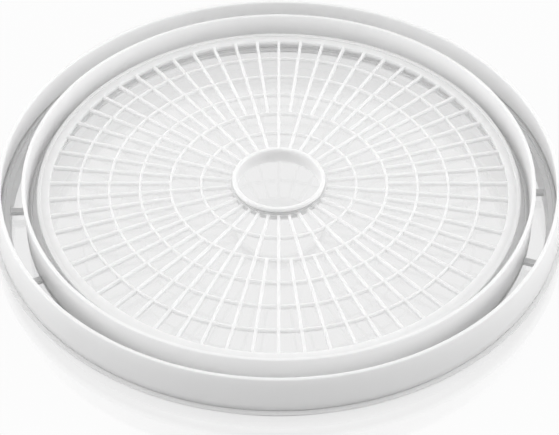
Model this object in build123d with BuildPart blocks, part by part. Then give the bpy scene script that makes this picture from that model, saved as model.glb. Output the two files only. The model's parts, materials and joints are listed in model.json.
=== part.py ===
"""Round stacking drying tray of a food dehydrator, in five separate pieces.

Millimetres, +Z up. The origin lies on the table at the centre of the round
tray. A base ring stands on the table and carries the flared outer wall. Short
bars join it to an inner hoop that the air guide ring stands on, and the open
drying screen lies on a carrier rim inside the guide ring. A collar lines the
hole in the middle of the screen.
"""
import os
from math import asin, cos, radians, sin

from build123d import *

# Base ring, from the table up
skirt_height = 10.5
skirt_thickness = 2.6
flange_thickness = 0.9
flange_overhang = 2.8
flange_rounding = 0.35
ledge_rise = 1.0
upstand_height = 3.0
upstand_thickness = 2.2

# Inner hoop of the base ring and the bars that carry it
hoop_gap = 4.0
hoop_margin = 0.2
hoop_lip_height = 2.2
hoop_lip_thickness = 1.6
bar_count = 16
bar_width = 4.0
bar_height = 2.6
bar_turn = 3.1

# Outer wall, which leans in from the flange to the rim
rim_radius = 173.2
wall_height = 22.6
wall_thickness = 2.4
wall_flare = 3.0
rim_rounding = 0.9
seam_chamfer = 0.3

# Air guide ring
channel_width = 12.4
guide_drop = 0.5
guide_thickness = 2.2
guide_draft = 0.4
guide_rounding = 0.8
seat_thickness = 2.0
seat_margin = 2.5
screen_gap = 5.9
carrier_height = 6.0
carrier_thickness = 2.0
carrier_inset = 0.5

# Drying screen
screen_edge_width = 7.5
locating_rib_depth = 1.0
locating_rib_thickness = 1.5
bead_width = 2.4
bead_height = 0.8
bead_rounding = 0.35
rib_height = 3.0
rib_width = 1.8
rib_start = 90.0
fine_rib_count = 60
coarse_rib_count = 30
fine_row_count = 4
ring_count = 5
ring_width = 1.3
outer_row_depth = 17.9
inner_row_depth = 18.8

# Hub in the middle of the screen
hub_bore_radius = 26.3
collar_thickness = 1.2
collar_depth = 7.7
collar_lip_height = 3.0
collar_lip_overhang = 1.4
collar_lip_rounding = 1.1
eye_thickness = 1.9
eye_rise = 1.0
eye_depth = 1.0
eye_margin = 0.5

# Clearances between pieces
stack_clearance = 0.6
wall_clearance = 0.3
hoop_clearance = 0.4
locating_clearance = 0.5
collar_clearance = 0.2

# Heights that follow from the sizes above
flange_top = skirt_height + flange_thickness
ledge_top = flange_top + ledge_rise
upstand_top = flange_top + upstand_height
rim_top = flange_top + wall_height
seat_top = flange_top + seat_thickness
guide_bottom = hoop_gap + bar_height
guide_top = rim_top - guide_drop
mesh_bottom = seat_top + carrier_height
mesh_top = mesh_bottom + rib_height
eye_top = mesh_top + eye_rise
collar_bottom = eye_top - collar_depth

# Radii that follow from the sizes above
rim_inner_radius = rim_radius - wall_thickness
wall_foot_radius = rim_radius + wall_flare
flange_radius = wall_foot_radius + flange_overhang
skirt_radius = rim_inner_radius - stack_clearance
skirt_inner_radius = skirt_radius - skirt_thickness
wall_inner_at_upstand = rim_inner_radius + wall_flare * (wall_height - upstand_height) / wall_height
upstand_radius = wall_inner_at_upstand - wall_clearance
upstand_inner_radius = upstand_radius - upstand_thickness
guide_radius = rim_inner_radius - channel_width
guide_foot_radius = guide_radius - guide_draft
guide_foot_inner_radius = guide_foot_radius - guide_thickness
hoop_radius = guide_foot_radius + hoop_margin
hoop_lip_radius = guide_foot_inner_radius - hoop_clearance
hoop_inner_radius = hoop_lip_radius - hoop_lip_thickness
draft_per_height = guide_draft / (guide_top - guide_bottom)
guide_inner_radius = guide_radius - guide_thickness
guide_inner_at_seat = guide_inner_radius - draft_per_height * (guide_top - seat_top)
guide_inner_under_seat = guide_inner_radius - draft_per_height * (guide_top - flange_top)
screen_radius = guide_inner_at_seat - screen_gap
carrier_radius = screen_radius - carrier_inset
carrier_inner_radius = carrier_radius - carrier_thickness
seat_inner_radius = carrier_inner_radius - seat_margin
locating_rib_radius = carrier_inner_radius - locating_clearance
mesh_radius = screen_radius - screen_edge_width
collar_radius = hub_bore_radius + collar_thickness
collar_lip_radius = collar_radius + collar_lip_overhang
eye_inner_radius = collar_radius + collar_clearance
eye_radius = eye_inner_radius + eye_thickness
outer_ring_radius = mesh_radius - outer_row_depth
ring_pitch = (outer_ring_radius - inner_row_depth - eye_radius) / (ring_count - 1)
ring_radii = [outer_ring_radius - ring_pitch * i for i in range(ring_count)]

os.makedirs("parts", exist_ok=True)


def mesh_opening(inner_radius, outer_radius, count):
    """Return one opening of the screen, between the rib at angle zero and the next."""
    pitch = radians(360 / count)
    inner_edge = asin(rib_width / 2 / inner_radius)
    outer_edge = asin(rib_width / 2 / outer_radius)

    def point(radius, angle):
        return radius * cos(angle), radius * sin(angle)

    with BuildSketch() as opening:
        with BuildLine():
            Line(point(inner_radius, inner_edge), point(outer_radius, outer_edge))
            ThreePointArc(
                point(outer_radius, outer_edge),
                point(outer_radius, pitch / 2),
                point(outer_radius, pitch - outer_edge),
            )
            Line(point(outer_radius, pitch - outer_edge), point(inner_radius, pitch - inner_edge))
            ThreePointArc(
                point(inner_radius, pitch - inner_edge),
                point(inner_radius, pitch / 2),
                point(inner_radius, inner_edge),
            )
        make_face()
    return opening.sketch


# Each row of openings runs from its inner edge to its outer edge
row_outer_edges = [mesh_radius] + [radius - ring_width / 2 for radius in ring_radii]
row_inner_edges = [radius + ring_width / 2 for radius in ring_radii] + [eye_radius + eye_margin]
mesh_openings = []
for row, (row_inner, row_outer) in enumerate(zip(row_inner_edges, row_outer_edges)):
    rib_count = fine_rib_count if row < fine_row_count else coarse_rib_count
    opening_wire = mesh_opening(row_inner, row_outer, rib_count).wire()
    for place in PolarLocations(0, rib_count, start_angle=rib_start):
        mesh_openings.append(place * opening_wire)
mesh_face = Face(Wire.make_circle(screen_radius), [Wire.make_circle(eye_inner_radius)] + mesh_openings)

# Base ring: nesting skirt, flange, ledge, wall upstand, and the hoop on its bars
with BuildPart() as base_ring:
    with BuildSketch(Plane.XZ):
        with BuildLine():
            Polyline(
                (skirt_inner_radius, 0),
                (skirt_radius, 0),
                (skirt_radius, skirt_height),
                (flange_radius, skirt_height),
                (flange_radius, flange_top),
                (upstand_radius, flange_top),
                (upstand_radius, upstand_top),
                (upstand_inner_radius, upstand_top),
                (upstand_inner_radius, ledge_top),
                (skirt_inner_radius, ledge_top),
                close=True,
            )
        make_face()
    revolve(axis=Axis.Z)
    flange_edges = base_ring.edges().filter_by(GeomType.CIRCLE).sort_by(SortBy.RADIUS)[-2:]
    fillet(flange_edges, radius=min(flange_rounding, flange_thickness * 0.4))
    with BuildSketch(Plane.XZ):
        with BuildLine():
            Polyline(
                (hoop_inner_radius, hoop_gap),
                (hoop_radius, hoop_gap),
                (hoop_radius, guide_bottom),
                (hoop_lip_radius, guide_bottom),
                (hoop_lip_radius, guide_bottom + hoop_lip_height),
                (hoop_inner_radius, guide_bottom + hoop_lip_height),
                close=True,
            )
        make_face()
    revolve(axis=Axis.Z)
    bar_start_radius = (hoop_lip_radius + hoop_radius) / 2
    bar_length = skirt_inner_radius + skirt_thickness / 2 - bar_start_radius
    with BuildSketch(Plane.XY.offset(hoop_gap)):
        with PolarLocations(bar_start_radius + bar_length / 2, bar_count, start_angle=bar_turn):
            Rectangle(bar_length, bar_width)
    extrude(amount=bar_height)
base_ring.part.label = "base_ring"
export_step(base_ring.part, "parts/base_ring.step")

# Outer wall: a flared band with a rounded rim, standing on the flange
with BuildPart() as outer_wall:
    with BuildSketch(Plane.XZ):
        with BuildLine():
            Polyline(
                (wall_foot_radius - wall_thickness, flange_top),
                (wall_foot_radius, flange_top),
                (rim_radius, rim_top),
                (rim_inner_radius, rim_top),
                close=True,
            )
        make_face()
    revolve(axis=Axis.Z)
    fillet(outer_wall.edges().group_by(Axis.Z)[-1], radius=min(rim_rounding, wall_thickness * 0.4))
    foot_edge = outer_wall.edges().group_by(Axis.Z)[0].sort_by(SortBy.RADIUS)[-1]
    chamfer(foot_edge, length=min(seam_chamfer, wall_thickness * 0.4))
outer_wall.part.label = "outer_wall"
export_step(outer_wall.part, "parts/outer_wall.step")

# Air guide ring: upright wall, and a seat whose carrier rim takes the screen
with BuildPart() as air_guide_ring:
    with BuildSketch(Plane.XZ):
        with BuildLine():
            Polyline(
                (seat_inner_radius, flange_top),
                (guide_inner_under_seat, flange_top),
                (guide_foot_inner_radius, guide_bottom),
                (guide_foot_radius, guide_bottom),
                (guide_radius, guide_top),
                (guide_inner_radius, guide_top),
                (guide_inner_at_seat, seat_top),
                (carrier_radius, seat_top),
                (carrier_radius, mesh_bottom),
                (carrier_inner_radius, mesh_bottom),
                (carrier_inner_radius, seat_top),
                (seat_inner_radius, seat_top),
                close=True,
            )
        make_face()
    revolve(axis=Axis.Z)
    fillet(air_guide_ring.edges().group_by(Axis.Z)[-1], radius=min(guide_rounding, guide_thickness * 0.4))
air_guide_ring.part.label = "air_guide_ring"
export_step(air_guide_ring.part, "parts/air_guide_ring.step")

# Drying screen: hoops for the bead, the locating rib and the hub eye, joined by the open mesh
with BuildPart() as drying_screen:
    with BuildSketch(Plane.XY.offset(mesh_top)):
        Circle(screen_radius)
        Circle(screen_radius - bead_width, mode=Mode.SUBTRACT)
    extrude(amount=bead_height)
    bead_edges = drying_screen.edges().filter_by(GeomType.CIRCLE).group_by(Axis.Z)[-1]
    fillet(bead_edges, radius=min(bead_rounding, bead_height * 0.45, bead_width * 0.4))
    with BuildSketch(Plane.XY.offset(mesh_bottom)):
        Circle(locating_rib_radius)
        Circle(locating_rib_radius - locating_rib_thickness, mode=Mode.SUBTRACT)
    extrude(amount=-locating_rib_depth)
    for eye_face, eye_length in ((mesh_top, eye_rise), (mesh_bottom, -eye_depth)):
        with BuildSketch(Plane.XY.offset(eye_face)):
            Circle(eye_radius)
            Circle(eye_inner_radius, mode=Mode.SUBTRACT)
        extrude(amount=eye_length)
    with BuildSketch(Plane.XY.offset(mesh_bottom)):
        add(mesh_face)
    extrude(amount=rib_height, clean=False)
drying_screen.part.label = "drying_screen"
export_step(drying_screen.part, "parts/drying_screen.step")

# Hub collar: a tube through the eye, hung by its rounded lip
with BuildPart() as hub_collar:
    with BuildSketch(Plane.XZ):
        with BuildLine():
            Polyline(
                (hub_bore_radius, collar_bottom),
                (collar_radius, collar_bottom),
                (collar_radius, eye_top),
                (collar_lip_radius, eye_top),
                (collar_lip_radius, eye_top + collar_lip_height),
                (hub_bore_radius, eye_top + collar_lip_height),
                close=True,
            )
        make_face()
    revolve(axis=Axis.Z)
    lip_edges = hub_collar.edges().group_by(Axis.Z)[-1]
    lip_width = collar_lip_radius - hub_bore_radius
    fillet(lip_edges, radius=min(collar_lip_rounding, collar_lip_height * 0.45, lip_width * 0.45))
hub_collar.part.label = "hub_collar"
export_step(hub_collar.part, "parts/hub_collar.step")
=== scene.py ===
"""Dresses a round stacking drying tray in moulded white plastic, on a glossy white table.

Metres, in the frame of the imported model: the origin is on the table at the tray's
centre, +Z is up and the camera looks along +Y. The tray has five pieces. Four are
turned sections, and the screen is a polar grid of rings and ribs.
"""
import json
import math

import bmesh
import bpy
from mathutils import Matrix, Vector


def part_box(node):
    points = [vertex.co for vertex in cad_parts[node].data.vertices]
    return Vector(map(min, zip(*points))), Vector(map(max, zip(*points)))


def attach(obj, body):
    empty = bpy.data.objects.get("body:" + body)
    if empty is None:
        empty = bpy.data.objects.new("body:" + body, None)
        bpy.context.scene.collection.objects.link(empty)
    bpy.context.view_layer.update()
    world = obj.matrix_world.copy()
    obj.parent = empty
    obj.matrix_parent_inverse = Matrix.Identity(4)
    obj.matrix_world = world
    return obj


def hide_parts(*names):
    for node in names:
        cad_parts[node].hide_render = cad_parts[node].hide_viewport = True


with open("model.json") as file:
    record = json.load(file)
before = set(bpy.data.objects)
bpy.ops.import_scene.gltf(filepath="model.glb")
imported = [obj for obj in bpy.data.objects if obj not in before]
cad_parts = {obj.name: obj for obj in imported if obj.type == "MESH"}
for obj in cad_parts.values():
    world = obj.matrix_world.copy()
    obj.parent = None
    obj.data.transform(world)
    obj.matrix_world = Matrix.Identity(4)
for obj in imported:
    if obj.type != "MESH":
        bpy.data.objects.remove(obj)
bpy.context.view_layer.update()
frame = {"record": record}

bl_info = {
    "name": "Drying Tray",
    "version": (1, 0, 0),
    "blender": (4, 5, 0),
    "location": "3D View > Sidebar > Drying Tray",
    "description": "Makes the pieces of a round stacking drying tray and the table it stands on",
    "category": "Add Mesh",
}

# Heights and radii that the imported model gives
BASE_LOW, BASE_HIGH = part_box("base_ring")
WALL_LOW, WALL_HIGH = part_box("outer_wall")
GUIDE_LOW, GUIDE_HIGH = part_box("air_guide_ring")
SCREEN_LOW, SCREEN_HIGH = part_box("drying_screen")
COLLAR_LOW, COLLAR_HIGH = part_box("hub_collar")
MOUNTS = {mount["name"]: mount for mount in frame["record"]["mounts"]}
SKIRT_RADIUS = MOUNTS["stack_skirt"]["dims"]["r_mm"] / 1000
SKIRT_HEIGHT = MOUNTS["stack_skirt"]["dims"]["length_mm"] / 1000
HUB_BORE_RADIUS = MOUNTS["hub_bore"]["dims"]["r_mm"] / 1000
FULL_TURN = 2 * math.pi


def length(name, description, default):
    """A size in metres."""
    return bpy.props.FloatProperty(
        name=name, description=description, default=default, min=0.0, precision=5, unit="LENGTH"
    )


def count(name, description, default):
    """A number of like features."""
    return bpy.props.IntProperty(name=name, description=description, default=default, min=1)


def share(name, description, default):
    """A value from zero to one."""
    return bpy.props.FloatProperty(
        name=name, description=description, default=default, min=0.0, max=1.0, subtype="FACTOR"
    )


def colour(name, description, default):
    """A plain surface colour."""
    return bpy.props.FloatVectorProperty(
        name=name,
        description=description,
        default=default,
        min=0.0,
        max=1.0,
        size=3,
        subtype="COLOR",
    )


class ShellSizes(bpy.types.PropertyGroup):
    """Sizes of the base ring with its bars and hoop, and of the outer wall."""

    rim_radius: length("Rim radius", "Outside of the rim", 0.1732)
    wall_foot_radius: length("Wall foot radius", "Outside of the wall at the flange", 0.1762)
    wall_thickness: length("Wall thickness", "Thickness of the outer wall", 0.0024)
    rim_rounding: length("Rim rounding", "Rounding of the rim's edges", 0.0009)
    seam_chamfer: length("Seam chamfer", "Break at the foot of the wall", 0.0003)
    skirt_thickness: length("Skirt thickness", "Thickness of the nesting skirt", 0.0026)
    flange_rounding: length("Flange rounding", "Rounding of the flange's edge", 0.00035)
    ledge_height: length("Ledge height", "Top of the inner ledge", WALL_LOW.z + 0.001)
    upstand_radius: length("Upstand radius", "Outside of the upstand in the wall", 0.1731)
    upstand_thickness: length("Upstand thickness", "Thickness of the upstand", 0.0022)
    hoop_gap: length("Hoop gap", "Space under the inner hoop and the bars", 0.004)
    hoop_radius: length("Hoop radius", "Outside of the inner hoop", 0.1582)
    hoop_lip_radius: length("Hoop lip radius", "Outside of the hoop's locating lip", 0.1554)
    hoop_lip_height: length("Hoop lip height", "Rise of that lip", 0.0022)
    hoop_lip_thickness: length("Hoop lip thickness", "Thickness of that lip", 0.0016)
    bar_width: length("Bar width", "Width of each bar", 0.004)
    bar_count: count("Bar count", "Bars from the skirt to the hoop", 16)
    bar_turn: bpy.props.FloatProperty(
        name="Bar turn",
        description="Angle of the first bar",
        default=math.radians(3.1),
        subtype="ANGLE",
    )


class GuideSizes(bpy.types.PropertyGroup):
    """Sizes of the air guide ring."""

    top_radius: length("Top radius", "Outside of the ring's top edge", 0.1584)
    foot_radius: length("Foot radius", "Outside of the ring's foot", 0.158)
    thickness: length("Thickness", "Thickness of the ring's wall", 0.0022)
    rounding: length("Rounding", "Rounding of the top edge", 0.0008)
    seat_inner_radius: length("Seat inner radius", "Inner edge of the screen's seat", 0.145)
    seat_thickness: length("Seat thickness", "Thickness of the seat", 0.002)
    seat_lip_radius: length("Seat lip radius", "Outside of the low lip on the seat", 0.1548)
    seat_lip_thickness: length("Seat lip thickness", "Thickness of that lip", 0.0014)
    seat_lip_height: length("Seat lip height", "Rise of that lip over the seat", 0.002)
    seat_lip_rounding: length("Seat lip rounding", "Rounding of that lip", 0.0004)
    carrier_radius: length("Carrier radius", "Outside of the rim that carries the screen", 0.1495)
    carrier_thickness: length("Carrier thickness", "Thickness of that rim", 0.002)


class ScreenSizes(bpy.types.PropertyGroup):
    """Sizes of the drying screen."""

    mesh_radius: length("Mesh radius", "Inner edge of the flat border", 0.1425)
    mesh_top: length("Mesh top", "Height of the ribs' tops", 0.0224)
    rib_height: length("Rib height", "Height of the ribs and rings", 0.003)
    rib_width: length("Rib width", "Width of the ribs", 0.0018)
    ring_width: length("Ring width", "Width of the rings", 0.0013)
    edge_softness: length("Edge softness", "Rounding of the ribs' edges", 0.00042)
    first_ring_radius: length("First ring radius", "Middle of the outermost ring", 0.1246)
    ring_pitch: length("Ring pitch", "Distance between rings", 0.01905)
    ring_count: count("Ring count", "Rings in the mesh", 5)
    fine_rib_count: count(
        "Fine rib count", "Ribs in the outer rows, a multiple of the inner ones", 60
    )
    coarse_rib_count: count("Coarse rib count", "Ribs in the inner rows", 30)
    fine_row_count: count("Fine row count", "Rows that have all the ribs", 4)
    bead_width: length("Bead width", "Width of the raised outer bead", 0.0024)
    bead_height: length("Bead height", "Rise of the bead over the border", 0.0008)
    bead_rounding: length("Bead rounding", "Rounding of the bead", 0.00035)
    locating_rib_radius: length(
        "Locating rib radius", "Outside of the rib inside the carrier rim", 0.147
    )
    locating_rib_thickness: length("Locating rib thickness", "Thickness of that rib", 0.0015)
    eye_inner_radius: length("Eye inner radius", "Hole that takes the collar", 0.0277)
    eye_radius: length("Eye radius", "Outside of the hub eye", 0.0296)
    eye_margin: length("Eye margin", "Flat margin round the eye", 0.0005)
    eye_depth: length("Eye depth", "Reach of the eye below the mesh", 0.001)


class HubSizes(bpy.types.PropertyGroup):
    """Sizes of the hub collar."""

    bore_radius: length("Bore radius", "Open hole through the collar", HUB_BORE_RADIUS)
    tube_thickness: length("Tube thickness", "Thickness of the collar's tube", 0.0012)
    foot_rounding: length("Foot rounding", "Rounding of the tube's lower edges", 0.0003)
    lip_radius: length("Lip radius", "Outside of the rounded lip", 0.0289)
    lip_rounding: length("Lip rounding", "Rounding of the lip", 0.0011)


class PlasticFinish(bpy.types.PropertyGroup):
    """Finish of the moulded plastic."""

    shell_colour: colour("Shell colour", "Base ring and outer wall", (0.95, 0.95, 0.95))
    # Paler white than the other pieces of the same plastic: painted light for the ring's shaded
    # inner parts
    guide_white_painted_paler: colour("Guide colour", "Air guide ring", (0.97, 0.97, 0.97))
    # Greyer white than the other pieces of the same plastic: painted shade that tones down the
    # strong light on the screen's top
    screen_white_painted_greyer: colour("Screen colour", "Screen and collar", (0.92, 0.92, 0.92))
    translucence: share("Translucence", "How much light spreads inside the plastic", 1.0)
    shell_reach: length("Shell reach", "How far light spreads in the base ring and wall", 0.005)
    inner_reach: length("Inner reach", "How far light spreads in the guide ring and screen", 0.008)
    collar_reach: length("Collar reach", "How far light spreads in the hub collar", 0.0015)
    shade_change: share("Shade change", "How much the white drifts over a piece", 0.03)
    roughness_low: share("Smoothest", "Roughness of the smoothest patches", 0.3)
    roughness_high: share("Roughest", "Roughness of the roughest patches", 0.42)
    grain: length("Grain", "Depth of the moulded grain", 0.00002)


class StageSettings(bpy.types.PropertyGroup):
    """Table, light and camera."""

    table_size: length("Table size", "Side of the square table top", 6.0)
    table_shade: share("Table shade", "Grey that the open table lights the tray with", 0.45)
    # Paler grey under the tray: painted light from below, standing for light through the plastic
    painted_light_near: share("Shade near", "The same under the tray, to stand for light through it", 1.0)
    table_gloss: share("Table gloss", "Share of mirror reflection", 0.15)
    table_blur: share("Table blur", "Roughness of the reflection", 0.09)
    table_glow: share("Table glow", "How far the table looks pale whatever falls on it", 0.95)
    # Dimmer glow near and under the tray: a painted shadow of the tray on the table
    painted_shadow_glow: share("Glow near", "How pale it looks under the tray, where one is white", 0.83)
    # Near radius and white radius bound the painted shadow and the painted light on the table
    near_radius: length("Near radius", "Where the table starts to change", 0.168)
    white_radius: length("White radius", "Where it is the open table, and looks white", 0.18)
    sky_front: share("Sky in front", "Strength of the soft light from the camera's side", 0.57)
    sky_back: share("Sky behind", "Strength of the soft light from the far side", 0.92)
    side_power: bpy.props.FloatProperty(
        name="Side power",
        description="Power of each softbox at the sides",
        default=8.0,
        min=0.0,
        unit="POWER",
    )
    softbox_side: length("Softbox side", "Distance of each softbox to its side", 1.3)
    softbox_back: length("Softbox back", "Distance of the softboxes behind the middle", 0.1)
    softbox_rise: length("Softbox rise", "Height of the softboxes", 0.62)
    softbox_size: length("Softbox size", "Side of each square softbox", 1.2)
    camera_side: length("Camera side", "Camera's place along X", 0.00046)
    camera_back: length("Camera back", "Camera's distance in front of the tray", 0.80273)
    camera_rise: length("Camera rise", "Camera's height over the mesh", 0.73431)
    camera_pitch: bpy.props.FloatProperty(
        name="Camera pitch",
        description="Angle below level",
        default=math.radians(43.615),
        subtype="ANGLE",
    )
    camera_lens: bpy.props.FloatProperty(
        name="Camera lens",
        description="Focal length on a 36 mm sensor",
        default=112.43,
        unit="CAMERA",
    )


class DryingTray(bpy.types.PropertyGroup):
    """Everything that a user would change."""

    shell: bpy.props.PointerProperty(type=ShellSizes)
    guide: bpy.props.PointerProperty(type=GuideSizes)
    screen: bpy.props.PointerProperty(type=ScreenSizes)
    hub: bpy.props.PointerProperty(type=HubSizes)
    plastic: bpy.props.PointerProperty(type=PlasticFinish)
    stage: bpy.props.PointerProperty(type=StageSettings)


# Meshes

SECTION_STEPS = 5
TURN_STEPS = 360
CREASE_ANGLE = math.radians(38)
# The most that a corner's curve takes of the sides beside it
CORNER_SHARE = 0.49


def rounded_outline(corners):
    """Closed section from corners of (radius, height, rounding), curved at the rounded ones."""
    outline = []
    for index, (radius, height, rounding) in enumerate(corners):
        here = Vector((radius, height))
        if rounding <= 0:
            outline.append(here)
            continue
        before = Vector(corners[index - 1][:2]) - here
        after = Vector(corners[(index + 1) % len(corners)][:2]) - here
        reach = rounding / math.tan(before.angle(after) / 2)
        reach = min(reach, before.length * CORNER_SHARE, after.length * CORNER_SHARE)
        start = here + before.normalized() * reach
        end = here + after.normalized() * reach
        for step in range(SECTION_STEPS + 1):
            along = step / SECTION_STEPS
            outline.append(start.lerp(here, along).lerp(here.lerp(end, along), along))
    return outline


def even_angles(steps=TURN_STEPS):
    """Angles of evenly spaced columns round the axis."""
    return [FULL_TURN * step / steps for step in range(steps)]


def turn(mesh, outline, angles, left_open=()):
    """Adds a section's ring to a mesh, less the faces left open, and returns its columns."""
    grid = []
    for angle in angles:
        side, ahead = math.cos(angle), math.sin(angle)
        grid.append(
            [mesh.verts.new((point.x * side, point.x * ahead, point.y)) for point in outline]
        )
    for column, here in enumerate(grid):
        there = grid[(column + 1) % len(grid)]
        for point in range(len(outline)):
            if (column, point) not in left_open:
                after = (point + 1) % len(outline)
                mesh.faces.new((here[point], there[point], there[after], here[after]))
    return grid


def finish_piece(mesh, name, material, body, slot, *nodes):
    """Makes the object of a finished mesh, with soft shading between creases."""
    bmesh.ops.recalc_face_normals(mesh, faces=mesh.faces)
    for face in mesh.faces:
        face.smooth = True
    for edge in mesh.edges:
        edge.smooth = edge.calc_face_angle(0.0) < CREASE_ANGLE
    data = bpy.data.meshes.new(name)
    mesh.to_mesh(data)
    mesh.free()
    data.materials.append(material)
    piece = bpy.data.objects.new(name, data)
    bpy.context.scene.collection.objects.link(piece)
    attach(piece, body)
    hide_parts(*nodes)


# Materials

SHADE_SCALE, SHADE_DETAIL = 18.0, 2.0
GLOSS_SCALE, GLOSS_DETAIL = 60.0, 3.0
GRAIN_SCALE, GRAIN_DETAIL = 1400.0, 2.0
GRAIN_STRENGTH = 0.25
PLASTIC_IOR = 1.49
# The stretch that nearly all of a noise falls in
NOISE_LOW, NOISE_HIGH = 0.3, 0.7
# Colour sockets of a Mix node, by number because its other kinds share their names
MIX_FIRST, MIX_SECOND, MIX_RESULT = 6, 7, 2
BLACK = (0.0, 0.0, 0.0, 1.0)
WHITE = (1.0, 1.0, 1.0, 1.0)


def add_node(tree, kind, **inputs):
    """A shader node with some of its inputs set, by their names with _ for spaces."""
    node = tree.nodes.new(kind)
    for name, value in inputs.items():
        node.inputs[name.replace("_", " ")].default_value = value
    return node


def map_range(tree, value, source, target):
    """Value carried over from one range to another, and held at its ends."""
    spread = add_node(
        tree,
        "ShaderNodeMapRange",
        From_Min=source[0],
        From_Max=source[1],
        To_Min=target[0],
        To_Max=target[1],
    )
    tree.links.new(value, spread.inputs["Value"])
    return spread.outputs["Result"]


def noise_range(tree, place, scale, detail, low, high):
    """Noise of a given scale, stretched to run from low to high."""
    noise = add_node(tree, "ShaderNodeTexNoise", Scale=scale, Detail=detail)
    tree.links.new(place, noise.inputs["Vector"])
    return map_range(tree, noise.outputs["Fac"], (NOISE_LOW, NOISE_HIGH), (low, high))


def moulded_plastic(name, white, reach, finish):
    """White plastic with a faint drift of shade, uneven gloss and a fine moulded grain."""
    material = bpy.data.materials.get(name)
    if material:
        return material
    material = bpy.data.materials.new(name)
    material.use_nodes = True
    tree = material.node_tree
    surface = tree.nodes["Principled BSDF"]
    place = tree.nodes.new("ShaderNodeTexCoord").outputs["Object"]

    darkest = 1.0 - finish.shade_change
    shade = noise_range(tree, place, SHADE_SCALE, SHADE_DETAIL, darkest, 1.0)
    tint = tree.nodes.new("ShaderNodeMix")
    tint.data_type = "RGBA"
    tint.inputs[MIX_FIRST].default_value = BLACK
    tint.inputs[MIX_SECOND].default_value = (*white, 1.0)
    tree.links.new(shade, tint.inputs["Factor"])
    tree.links.new(tint.outputs[MIX_RESULT], surface.inputs["Base Color"])

    smoothest, roughest = finish.roughness_low, finish.roughness_high
    rough = noise_range(tree, place, GLOSS_SCALE, GLOSS_DETAIL, smoothest, roughest)
    tree.links.new(rough, surface.inputs["Roughness"])

    grain = add_node(tree, "ShaderNodeTexNoise", Scale=GRAIN_SCALE, Detail=GRAIN_DETAIL)
    tree.links.new(place, grain.inputs["Vector"])
    bump = add_node(tree, "ShaderNodeBump", Strength=GRAIN_STRENGTH, Distance=finish.grain)
    tree.links.new(grain.outputs["Fac"], bump.inputs["Height"])
    tree.links.new(bump.outputs["Normal"], surface.inputs["Normal"])

    surface.inputs["IOR"].default_value = PLASTIC_IOR
    surface.inputs["Subsurface Weight"].default_value = finish.translucence
    surface.inputs["Subsurface Radius"].default_value = (1.0, 1.0, 1.0)
    surface.inputs["Subsurface Scale"].default_value = reach
    return material


class TRAY_OT_base_ring(bpy.types.Operator):
    """Make the base ring: nesting skirt, flange, ledge, upstand and the inner hoop on its bars"""

    bl_idname = "tray.base_ring"
    bl_label = "Base Ring"

    GAP_STEPS = 22
    HOOP_FACE = 1
    SKIRT_FACE = 0

    def execute(self, context):
        tray = context.scene.drying_tray
        sizes = tray.shell
        mesh = bmesh.new()
        bar_columns = [bar * (self.GAP_STEPS + 1) for bar in range(sizes.bar_count)]
        hoop = turn(
            mesh,
            self.hoop_section(sizes),
            self.bar_angles(sizes, sizes.hoop_radius),
            {(column, self.HOOP_FACE) for column in bar_columns},
        )
        skirt = turn(
            mesh,
            self.skirt_section(sizes),
            self.bar_angles(sizes, SKIRT_RADIUS - sizes.skirt_thickness),
            {(column, self.SKIRT_FACE) for column in bar_columns},
        )
        for column in bar_columns:
            self.bar(mesh, hoop, skirt, column)
        finish = tray.plastic
        material = moulded_plastic("shell_plastic", finish.shell_colour, finish.shell_reach, finish)
        finish_piece(mesh, "base_ring_moulding", material, "shell", "shell_white", "base_ring")
        return {"FINISHED"}

    def bar_angles(self, sizes, radius):
        """Column angles at a radius: both sides of each bar, and steps along the gap after it."""
        pitch = FULL_TURN / sizes.bar_count
        half_bar = math.asin(sizes.bar_width / 2 / radius)
        gap = pitch - 2 * half_bar
        found = []
        for bar in range(sizes.bar_count):
            middle = sizes.bar_turn + pitch * bar
            found.append(middle - half_bar)
            start = middle + half_bar
            found += [start + gap * step / self.GAP_STEPS for step in range(self.GAP_STEPS)]
        return found

    def hoop_section(self, sizes):
        """Inner hoop, whose outer face takes the bars."""
        inner = sizes.hoop_lip_radius - sizes.hoop_lip_thickness
        lip_top = GUIDE_LOW.z + sizes.hoop_lip_height
        return rounded_outline([
            (inner, sizes.hoop_gap, 0),
            (sizes.hoop_radius, sizes.hoop_gap, 0),
            (sizes.hoop_radius, GUIDE_LOW.z, 0),
            (sizes.hoop_lip_radius, GUIDE_LOW.z, 0),
            (sizes.hoop_lip_radius, lip_top, sizes.flange_rounding),
            (inner, lip_top, sizes.flange_rounding),
        ])

    def skirt_section(self, sizes):
        """Skirt, flange, ledge and upstand, starting with the stretch that takes the bars."""
        skirt_inner = SKIRT_RADIUS - sizes.skirt_thickness
        upstand_inner = sizes.upstand_radius - sizes.upstand_thickness
        return rounded_outline([
            (skirt_inner, GUIDE_LOW.z, 0),
            (skirt_inner, sizes.hoop_gap, 0),
            (skirt_inner, BASE_LOW.z, 0),
            (SKIRT_RADIUS, BASE_LOW.z, 0),
            (SKIRT_RADIUS, SKIRT_HEIGHT, 0),
            (BASE_HIGH.x, SKIRT_HEIGHT, sizes.flange_rounding),
            (BASE_HIGH.x, WALL_LOW.z, sizes.flange_rounding),
            (sizes.upstand_radius, WALL_LOW.z, 0),
            (sizes.upstand_radius, BASE_HIGH.z, 0),
            (upstand_inner, BASE_HIGH.z, 0),
            (upstand_inner, sizes.ledge_height, 0),
            (skirt_inner, sizes.ledge_height, 0),
        ])

    def bar(self, mesh, hoop, skirt, column):
        """Joins the open faces of hoop and skirt with the four sides of a bar."""
        near, far = self.HOOP_FACE, self.SKIRT_FACE
        here, there = hoop[column], hoop[column + 1]
        root = [here[near], there[near], there[near + 1], here[near + 1]]
        here, there = skirt[column], skirt[column + 1]
        end = [here[far + 1], there[far + 1], there[far], here[far]]
        for side in range(len(root)):
            mesh.faces.new((root[side - 1], root[side], end[side], end[side - 1]))


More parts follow.
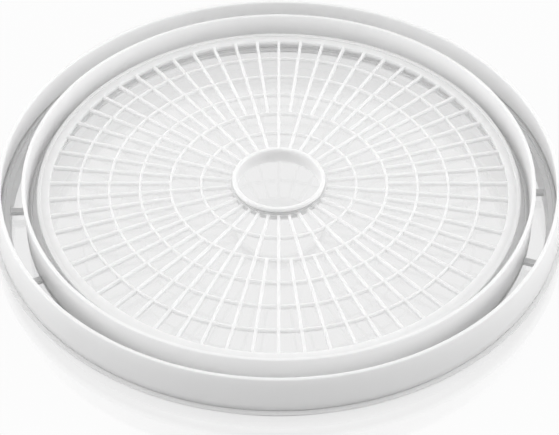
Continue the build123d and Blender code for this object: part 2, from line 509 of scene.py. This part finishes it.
class TRAY_OT_outer_wall(bpy.types.Operator):
    """Make the flared outer wall with its rounded rim"""

    bl_idname = "tray.outer_wall"
    bl_label = "Outer Wall"

    def execute(self, context):
        tray = context.scene.drying_tray
        sizes = tray.shell
        section = rounded_outline([
            (sizes.wall_foot_radius - sizes.wall_thickness, WALL_LOW.z, 0),
            (sizes.wall_foot_radius, WALL_LOW.z, sizes.seam_chamfer),
            (sizes.rim_radius, WALL_HIGH.z, sizes.rim_rounding),
            (sizes.rim_radius - sizes.wall_thickness, WALL_HIGH.z, sizes.rim_rounding),
        ])
        ring = bmesh.new()
        turn(ring, section, even_angles())
        finish = tray.plastic
        material = moulded_plastic("shell_plastic", finish.shell_colour, finish.shell_reach, finish)
        finish_piece(ring, "outer_wall_moulding", material, "shell", "shell_white", "outer_wall")
        return {"FINISHED"}


class TRAY_OT_air_guide_ring(bpy.types.Operator):
    """Make the air guide ring with the rim that carries the screen"""

    bl_idname = "tray.air_guide_ring"
    bl_label = "Air Guide Ring"

    def execute(self, context):
        tray = context.scene.drying_tray
        sizes = tray.guide
        seat_bottom = WALL_LOW.z
        seat_top = seat_bottom + sizes.seat_thickness
        carrier_top = tray.screen.mesh_top - tray.screen.rib_height
        carrier_inner = sizes.carrier_radius - sizes.carrier_thickness
        seat_lip_inner = sizes.seat_lip_radius - sizes.seat_lip_thickness
        seat_lip_top = seat_top + sizes.seat_lip_height
        section = rounded_outline([
            (sizes.seat_inner_radius, seat_bottom, 0),
            (self.inner_radius(sizes, seat_bottom), seat_bottom, 0),
            (sizes.foot_radius - sizes.thickness, GUIDE_LOW.z, 0),
            (sizes.foot_radius, GUIDE_LOW.z, 0),
            (sizes.top_radius, GUIDE_HIGH.z, sizes.rounding),
            (sizes.top_radius - sizes.thickness, GUIDE_HIGH.z, sizes.rounding),
            (self.inner_radius(sizes, seat_top), seat_top, 0),
            (sizes.seat_lip_radius, seat_top, 0),
            (sizes.seat_lip_radius, seat_lip_top, sizes.seat_lip_rounding),
            (seat_lip_inner, seat_lip_top, sizes.seat_lip_rounding),
            (seat_lip_inner, seat_top, 0),
            (sizes.carrier_radius, seat_top, 0),
            (sizes.carrier_radius, carrier_top, 0),
            (carrier_inner, carrier_top, 0),
            (carrier_inner, seat_top, 0),
            (sizes.seat_inner_radius, seat_top, 0),
        ])
        ring = bmesh.new()
        turn(ring, section, even_angles())
        finish = tray.plastic
        material = moulded_plastic("guide_plastic", finish.guide_white_painted_paler, finish.inner_reach, finish)
        finish_piece(ring, "air_guide_moulding", material, "guide", "guide_white", "air_guide_ring")
        return {"FINISHED"}

    def inner_radius(self, sizes, height):
        """Inside of the ring's leaning wall at a height."""
        rise = (height - GUIDE_LOW.z) / (GUIDE_HIGH.z - GUIDE_LOW.z)
        return sizes.foot_radius + (sizes.top_radius - sizes.foot_radius) * rise - sizes.thickness


class TRAY_OT_drying_screen(bpy.types.Operator):
    """Make the drying screen: rings and ribs with a beaded border and a hub eye"""

    bl_idname = "tray.drying_screen"
    bl_label = "Drying Screen"

    ARC_STEPS = 4
    SOFT_STEPS = 2
    ROUND_PROFILE = 0.5

    def execute(self, context):
        tray = context.scene.drying_tray
        sizes = tray.screen
        self.sizes = sizes
        self.mesh = bmesh.new()
        self.top = sizes.mesh_top
        self.bottom = sizes.mesh_top - sizes.rib_height
        first, pitch = sizes.first_ring_radius, sizes.ring_pitch
        rings = [first - pitch * ring for ring in range(sizes.ring_count)]
        half_ring = sizes.ring_width / 2
        circles = [sizes.mesh_radius]
        for ring in rings:
            circles += [ring + half_ring, ring - half_ring]
        circles.append(sizes.eye_radius + sizes.eye_margin)
        heights = (self.top, self.bottom)
        grids = [[self.circle(radius, height) for radius in circles] for height in heights]
        filled = [self.filled_segments(band) for band in range(len(circles) - 1)]
        self.deck(grids, filled)
        self.walls(grids, filled)
        self.border(grids[0][0], grids[1][0], self.outer_section())
        self.border(grids[0][-1], grids[1][-1], self.eye_section())
        self.soften()
        finish = tray.plastic
        material = moulded_plastic(
            "screen_plastic", finish.screen_white_painted_greyer, finish.inner_reach, finish
        )
        finish_piece(
            self.mesh, "drying_screen_moulding", material, "screen", "screen_white", "drying_screen"
        )
        return {"FINISHED"}

    def angles(self, radius):
        """Column angles on a circle: both sides of each rib, and steps along the gap after it."""
        sizes = self.sizes
        pitch = FULL_TURN / sizes.fine_rib_count
        half_rib = math.asin(sizes.rib_width / 2 / radius)
        gap = pitch - 2 * half_rib
        found = []
        for rib in range(sizes.fine_rib_count):
            middle = math.pi / 2 + pitch * rib
            found.append(middle - half_rib)
            start = middle + half_rib
            found += [start + gap * step / self.ARC_STEPS for step in range(self.ARC_STEPS)]
        return found

    def circle(self, radius, height):
        """The mesh's points on one circle."""
        return [
            self.mesh.verts.new((radius * math.cos(angle), radius * math.sin(angle), height))
            for angle in self.angles(radius)
        ]

    def filled_segments(self, band):
        """Which segments of a band are plastic: all of a ring, and only the ribs of a row."""
        sizes = self.sizes
        per_rib = self.ARC_STEPS + 1
        if band % 2:
            return [True] * (sizes.fine_rib_count * per_rib)
        fine = band // 2 < sizes.fine_row_count
        step = 1 if fine else sizes.fine_rib_count // sizes.coarse_rib_count
        return [
            segment % per_rib == 0 and (segment // per_rib) % step == 0
            for segment in range(sizes.fine_rib_count * per_rib)
        ]

    def deck(self, grids, filled):
        """Top and bottom faces of the rings and ribs."""
        for grid in grids:
            for band, segments in enumerate(filled):
                outer, inner = grid[band], grid[band + 1]
                for here, plastic in enumerate(segments):
                    if plastic:
                        after = (here + 1) % len(segments)
                        self.mesh.faces.new((outer[here], outer[after], inner[after], inner[here]))

    def walls(self, grids, filled):
        """Sides of the openings, along the ribs and along the rings."""
        top, bottom = grids
        for band, segments in enumerate(filled):
            for here, plastic in enumerate(segments):
                if plastic != segments[here - 1]:
                    upper = (top[band][here], top[band + 1][here])
                    lower = (bottom[band + 1][here], bottom[band][here])
                    self.mesh.faces.new(upper + lower)
        whole = [True] * len(filled[0])
        outside, inside = [whole] + filled, filled + [whole]
        for circle in range(len(top)):
            for here in range(len(whole)):
                if outside[circle][here] != inside[circle][here]:
                    after = (here + 1) % len(whole)
                    upper = (top[circle][here], top[circle][after])
                    lower = (bottom[circle][after], bottom[circle][here])
                    self.mesh.faces.new(upper + lower)

    def outer_section(self):
        """Border from the mesh over the bead, down the edge and back under the rib to the mesh."""
        sizes = self.sizes
        edge = SCREEN_HIGH.x
        bead_top = self.top + sizes.bead_height
        rib_inner = sizes.locating_rib_radius - sizes.locating_rib_thickness
        return rounded_outline([
            (edge - sizes.bead_width, self.top, 0),
            (edge - sizes.bead_width, bead_top, sizes.bead_rounding),
            (edge, bead_top, sizes.bead_rounding),
            (edge, self.bottom, 0),
            (sizes.locating_rib_radius, self.bottom, 0),
            (sizes.locating_rib_radius, SCREEN_LOW.z, 0),
            (rib_inner, SCREEN_LOW.z, 0),
            (rib_inner, self.bottom, 0),
        ])

    def eye_section(self):
        """Hub eye from the mesh over its top, down the hole and back under to the mesh."""
        sizes = self.sizes
        eye_bottom = self.bottom - sizes.eye_depth
        return rounded_outline([
            (sizes.eye_radius, self.top, 0),
            (sizes.eye_radius, SCREEN_HIGH.z, 0),
            (sizes.eye_inner_radius, SCREEN_HIGH.z, 0),
            (sizes.eye_inner_radius, eye_bottom, 0),
            (sizes.eye_radius, eye_bottom, 0),
            (sizes.eye_radius, self.bottom, 0),
        ])

    def border(self, top_circle, bottom_circle, section):
        """Turned band that joins the mesh's top and bottom circles along a section."""
        angles = [math.atan2(vert.co.y, vert.co.x) for vert in top_circle]
        loops = [top_circle]
        for point in section:
            loops.append([
                self.mesh.verts.new((point.x * math.cos(angle), point.x * math.sin(angle), point.y))
                for angle in angles
            ])
        loops.append(bottom_circle)
        for upper, lower in zip(loops, loops[1:]):
            for here in range(len(angles)):
                after = (here + 1) % len(angles)
                self.mesh.faces.new((upper[here], upper[after], lower[after], lower[here]))

    def soften(self):
        """Rounds the edges of the ribs, the rings and the openings' corners."""
        bmesh.ops.recalc_face_normals(self.mesh, faces=self.mesh.faces)
        outer = self.sizes.mesh_radius + self.sizes.edge_softness
        inner = self.sizes.eye_radius + self.sizes.edge_softness
        edges = [
            edge
            for edge in self.mesh.edges
            if edge.calc_face_angle(0.0) > CREASE_ANGLE
            and all(inner < vert.co.xy.length < outer for vert in edge.verts)
        ]
        bmesh.ops.bevel(
            self.mesh,
            geom=edges,
            offset=self.sizes.edge_softness,
            offset_type="OFFSET",
            segments=self.SOFT_STEPS,
            profile=self.ROUND_PROFILE,
            affect="EDGES",
            clamp_overlap=True,
        )


class TRAY_OT_hub_collar(bpy.types.Operator):
    """Make the lipped collar that lines the hole in the screen"""

    bl_idname = "tray.hub_collar"
    bl_label = "Hub Collar"

    COLLAR_STEPS = 180

    def execute(self, context):
        tray = context.scene.drying_tray
        sizes = tray.hub
        tube_radius = sizes.bore_radius + sizes.tube_thickness
        section = rounded_outline([
            (sizes.bore_radius, COLLAR_LOW.z, sizes.foot_rounding),
            (tube_radius, COLLAR_LOW.z, sizes.foot_rounding),
            (tube_radius, SCREEN_HIGH.z, 0),
            (sizes.lip_radius, SCREEN_HIGH.z, 0),
            (sizes.lip_radius, COLLAR_HIGH.z, sizes.lip_rounding),
            (sizes.bore_radius, COLLAR_HIGH.z, sizes.lip_rounding),
        ])
        ring = bmesh.new()
        turn(ring, section, even_angles(self.COLLAR_STEPS))
        finish = tray.plastic
        material = moulded_plastic(
            "collar_plastic", finish.screen_white_painted_greyer, finish.collar_reach, finish
        )
        finish_piece(ring, "hub_collar_moulding", material, "screen", "screen_white", "hub_collar")
        return {"FINISHED"}


class TRAY_OT_stage(bpy.types.Operator):
    """Make the glossy table, the soft light and the camera"""

    bl_idname = "tray.stage"
    bl_label = "Stage"

    SENSOR_WIDTH = 36.0

    def execute(self, context):
        settings = context.scene.drying_tray.stage
        context.scene.view_settings.view_transform = "Standard"
        self.table(context, settings)
        self.sky(context, settings)
        self.softbox(context, "left_softbox", -settings.softbox_side, settings)
        self.softbox(context, "right_softbox", settings.softbox_side, settings)
        self.camera(context, settings)
        return {"FINISHED"}

    def table(self, context, settings):
        """Square table top under the tray."""
        half = settings.table_size / 2
        data = bpy.data.meshes.new("table_top")
        corners = [(-half, -half, 0), (half, -half, 0), (half, half, 0), (-half, half, 0)]
        data.from_pydata(corners, [], [(0, 1, 2, 3)])
        top = bpy.data.objects.new("table_top", data)
        context.scene.collection.objects.link(top)
        data.materials.append(self.table_finish(settings))

    def table_finish(self, settings):
        """Matt grey that lights the tray, with painted light under it, and looks paler to the eye,
        dimmer near the tray as a painted shadow, with a mirror sheen.
        """
        material = bpy.data.materials.new("table_gloss")
        material.use_nodes = True
        tree = material.node_tree
        tree.nodes.remove(tree.nodes["Principled BSDF"])
        diffuse = tree.nodes.new("ShaderNodeBsdfDiffuse")
        glow = tree.nodes.new("ShaderNodeEmission")
        mirror = add_node(tree, "ShaderNodeBsdfGlossy", Color=WHITE, Roughness=settings.table_blur)

        distance = tree.nodes.new("ShaderNodeVectorMath")
        distance.operation = "LENGTH"
        place = tree.nodes.new("ShaderNodeTexCoord").outputs["Object"]
        tree.links.new(place, distance.inputs[0])
        reach = (settings.near_radius, settings.white_radius)
        # Inside the near radius the glow is dimmer, a painted shadow of the tray, and the grey is
        # paler, painted light from below that stands for light through the plastic; both fade out
        # by the white radius
        for socket, near, far in (
            (diffuse.inputs["Color"], settings.painted_light_near, settings.table_shade),
            (glow.inputs["Strength"], settings.painted_shadow_glow, 1.0),
        ):
            tree.links.new(map_range(tree, distance.outputs["Value"], reach, (near, far)), socket)

        pale = self.blend(tree, diffuse, glow)
        pale.inputs["Fac"].default_value = settings.table_glow
        sheen = self.blend(tree, pale, mirror)
        sheen.inputs["Fac"].default_value = settings.table_gloss
        look = self.blend(tree, diffuse, sheen)
        tree.links.new(self.seen(tree), look.inputs["Fac"])
        tree.links.new(look.outputs[0], tree.nodes["Material Output"].inputs["Surface"])
        return material

    def blend(self, tree, first, second):
        """Mix of two shaders."""
        mix = tree.nodes.new("ShaderNodeMixShader")
        tree.links.new(first.outputs[0], mix.inputs[1])
        tree.links.new(second.outputs[0], mix.inputs[2])
        return mix

    def seen(self, tree):
        """One for rays from the camera, a reflection or a clear piece, and zero for the rest."""
        path = tree.nodes.new("ShaderNodeLightPath")
        found = path.outputs["Is Camera Ray"]
        for kind in ("Is Glossy Ray", "Is Transmission Ray"):
            either = tree.nodes.new("ShaderNodeMath")
            either.operation = "MAXIMUM"
            tree.links.new(found, either.inputs[0])
            tree.links.new(path.outputs[kind], either.inputs[1])
            found = either.outputs[0]
        return found

    def sky(self, context, settings):
        """Soft light that grows from front to back, and looks white to the eye."""
        world = bpy.data.worlds.new("studio_sky")
        world.use_nodes = True
        context.scene.world = world
        tree = world.node_tree
        light = tree.nodes["Background"]
        light.inputs["Color"].default_value = WHITE
        direction = tree.nodes.new("ShaderNodeSeparateXYZ")
        place = tree.nodes.new("ShaderNodeTexCoord").outputs["Generated"]
        tree.links.new(place, direction.inputs[0])
        strength = (settings.sky_front, settings.sky_back)
        graded = map_range(tree, direction.outputs["Y"], (-1.0, 1.0), strength)
        tree.links.new(graded, light.inputs["Strength"])
        white = add_node(tree, "ShaderNodeBackground", Color=WHITE, Strength=1.0)
        look = self.blend(tree, light, white)
        tree.links.new(self.seen(tree), look.inputs["Fac"])
        tree.links.new(look.outputs[0], tree.nodes["World Output"].inputs["Surface"])

    def softbox(self, context, name, side, settings):
        """Square area light that faces the tray."""
        light = bpy.data.lights.new(name, "AREA")
        light.size = settings.softbox_size
        light.energy = settings.side_power
        lamp = bpy.data.objects.new(name, light)
        place = Vector((side, settings.softbox_back, settings.softbox_rise))
        lamp.location = place
        lamp.rotation_euler = (-place).to_track_quat("-Z", "Y").to_euler()
        context.scene.collection.objects.link(lamp)

    def camera(self, context, settings):
        """Camera at the photograph's viewing angle."""
        data = bpy.data.cameras.new("camera")
        data.sensor_fit = "HORIZONTAL"
        data.sensor_width = self.SENSOR_WIDTH
        data.lens = settings.camera_lens
        data.clip_end = settings.table_size * 2
        camera = bpy.data.objects.new("camera", data)
        mesh_top = context.scene.drying_tray.screen.mesh_top
        rise = mesh_top + settings.camera_rise
        camera.location = (settings.camera_side, -settings.camera_back, rise)
        camera.rotation_euler = (math.pi / 2 - settings.camera_pitch, 0.0, 0.0)
        context.scene.collection.objects.link(camera)
        context.scene.camera = camera


PIECE_OPERATORS = (
    TRAY_OT_base_ring,
    TRAY_OT_outer_wall,
    TRAY_OT_air_guide_ring,
    TRAY_OT_drying_screen,
    TRAY_OT_hub_collar,
    TRAY_OT_stage,
)


class TRAY_PT_pieces(bpy.types.Panel):
    """Lists the tray's pieces and the stage"""

    bl_idname = "TRAY_PT_pieces"
    bl_label = "Drying Tray"
    bl_space_type = "VIEW_3D"
    bl_region_type = "UI"
    bl_category = "Drying Tray"

    def draw(self, context):
        for operator in PIECE_OPERATORS:
            self.layout.operator(operator.bl_idname)
        tray = context.scene.drying_tray
        for group in (tray.shell, tray.guide, tray.screen, tray.hub, tray.plastic, tray.stage):
            box = self.layout.box()
            for name in group.bl_rna.properties.keys():
                if name not in ("rna_type", "name"):
                    box.prop(group, name)


CLASSES = (
    ShellSizes,
    GuideSizes,
    ScreenSizes,
    HubSizes,
    PlasticFinish,
    StageSettings,
    DryingTray,
    *PIECE_OPERATORS,
    TRAY_PT_pieces,
)


def register():
    for each in CLASSES:
        bpy.utils.register_class(each)
    bpy.types.Scene.drying_tray = bpy.props.PointerProperty(type=DryingTray)


def unregister():
    del bpy.types.Scene.drying_tray
    for each in reversed(CLASSES):
        bpy.utils.unregister_class(each)


def main():
    """Makes every piece and the stage."""
    register()
    bpy.ops.tray.base_ring()
    bpy.ops.tray.outer_wall()
    bpy.ops.tray.air_guide_ring()
    bpy.ops.tray.drying_screen()
    bpy.ops.tray.hub_collar()
    bpy.ops.tray.stage()


if __name__ == "__main__":
    main()
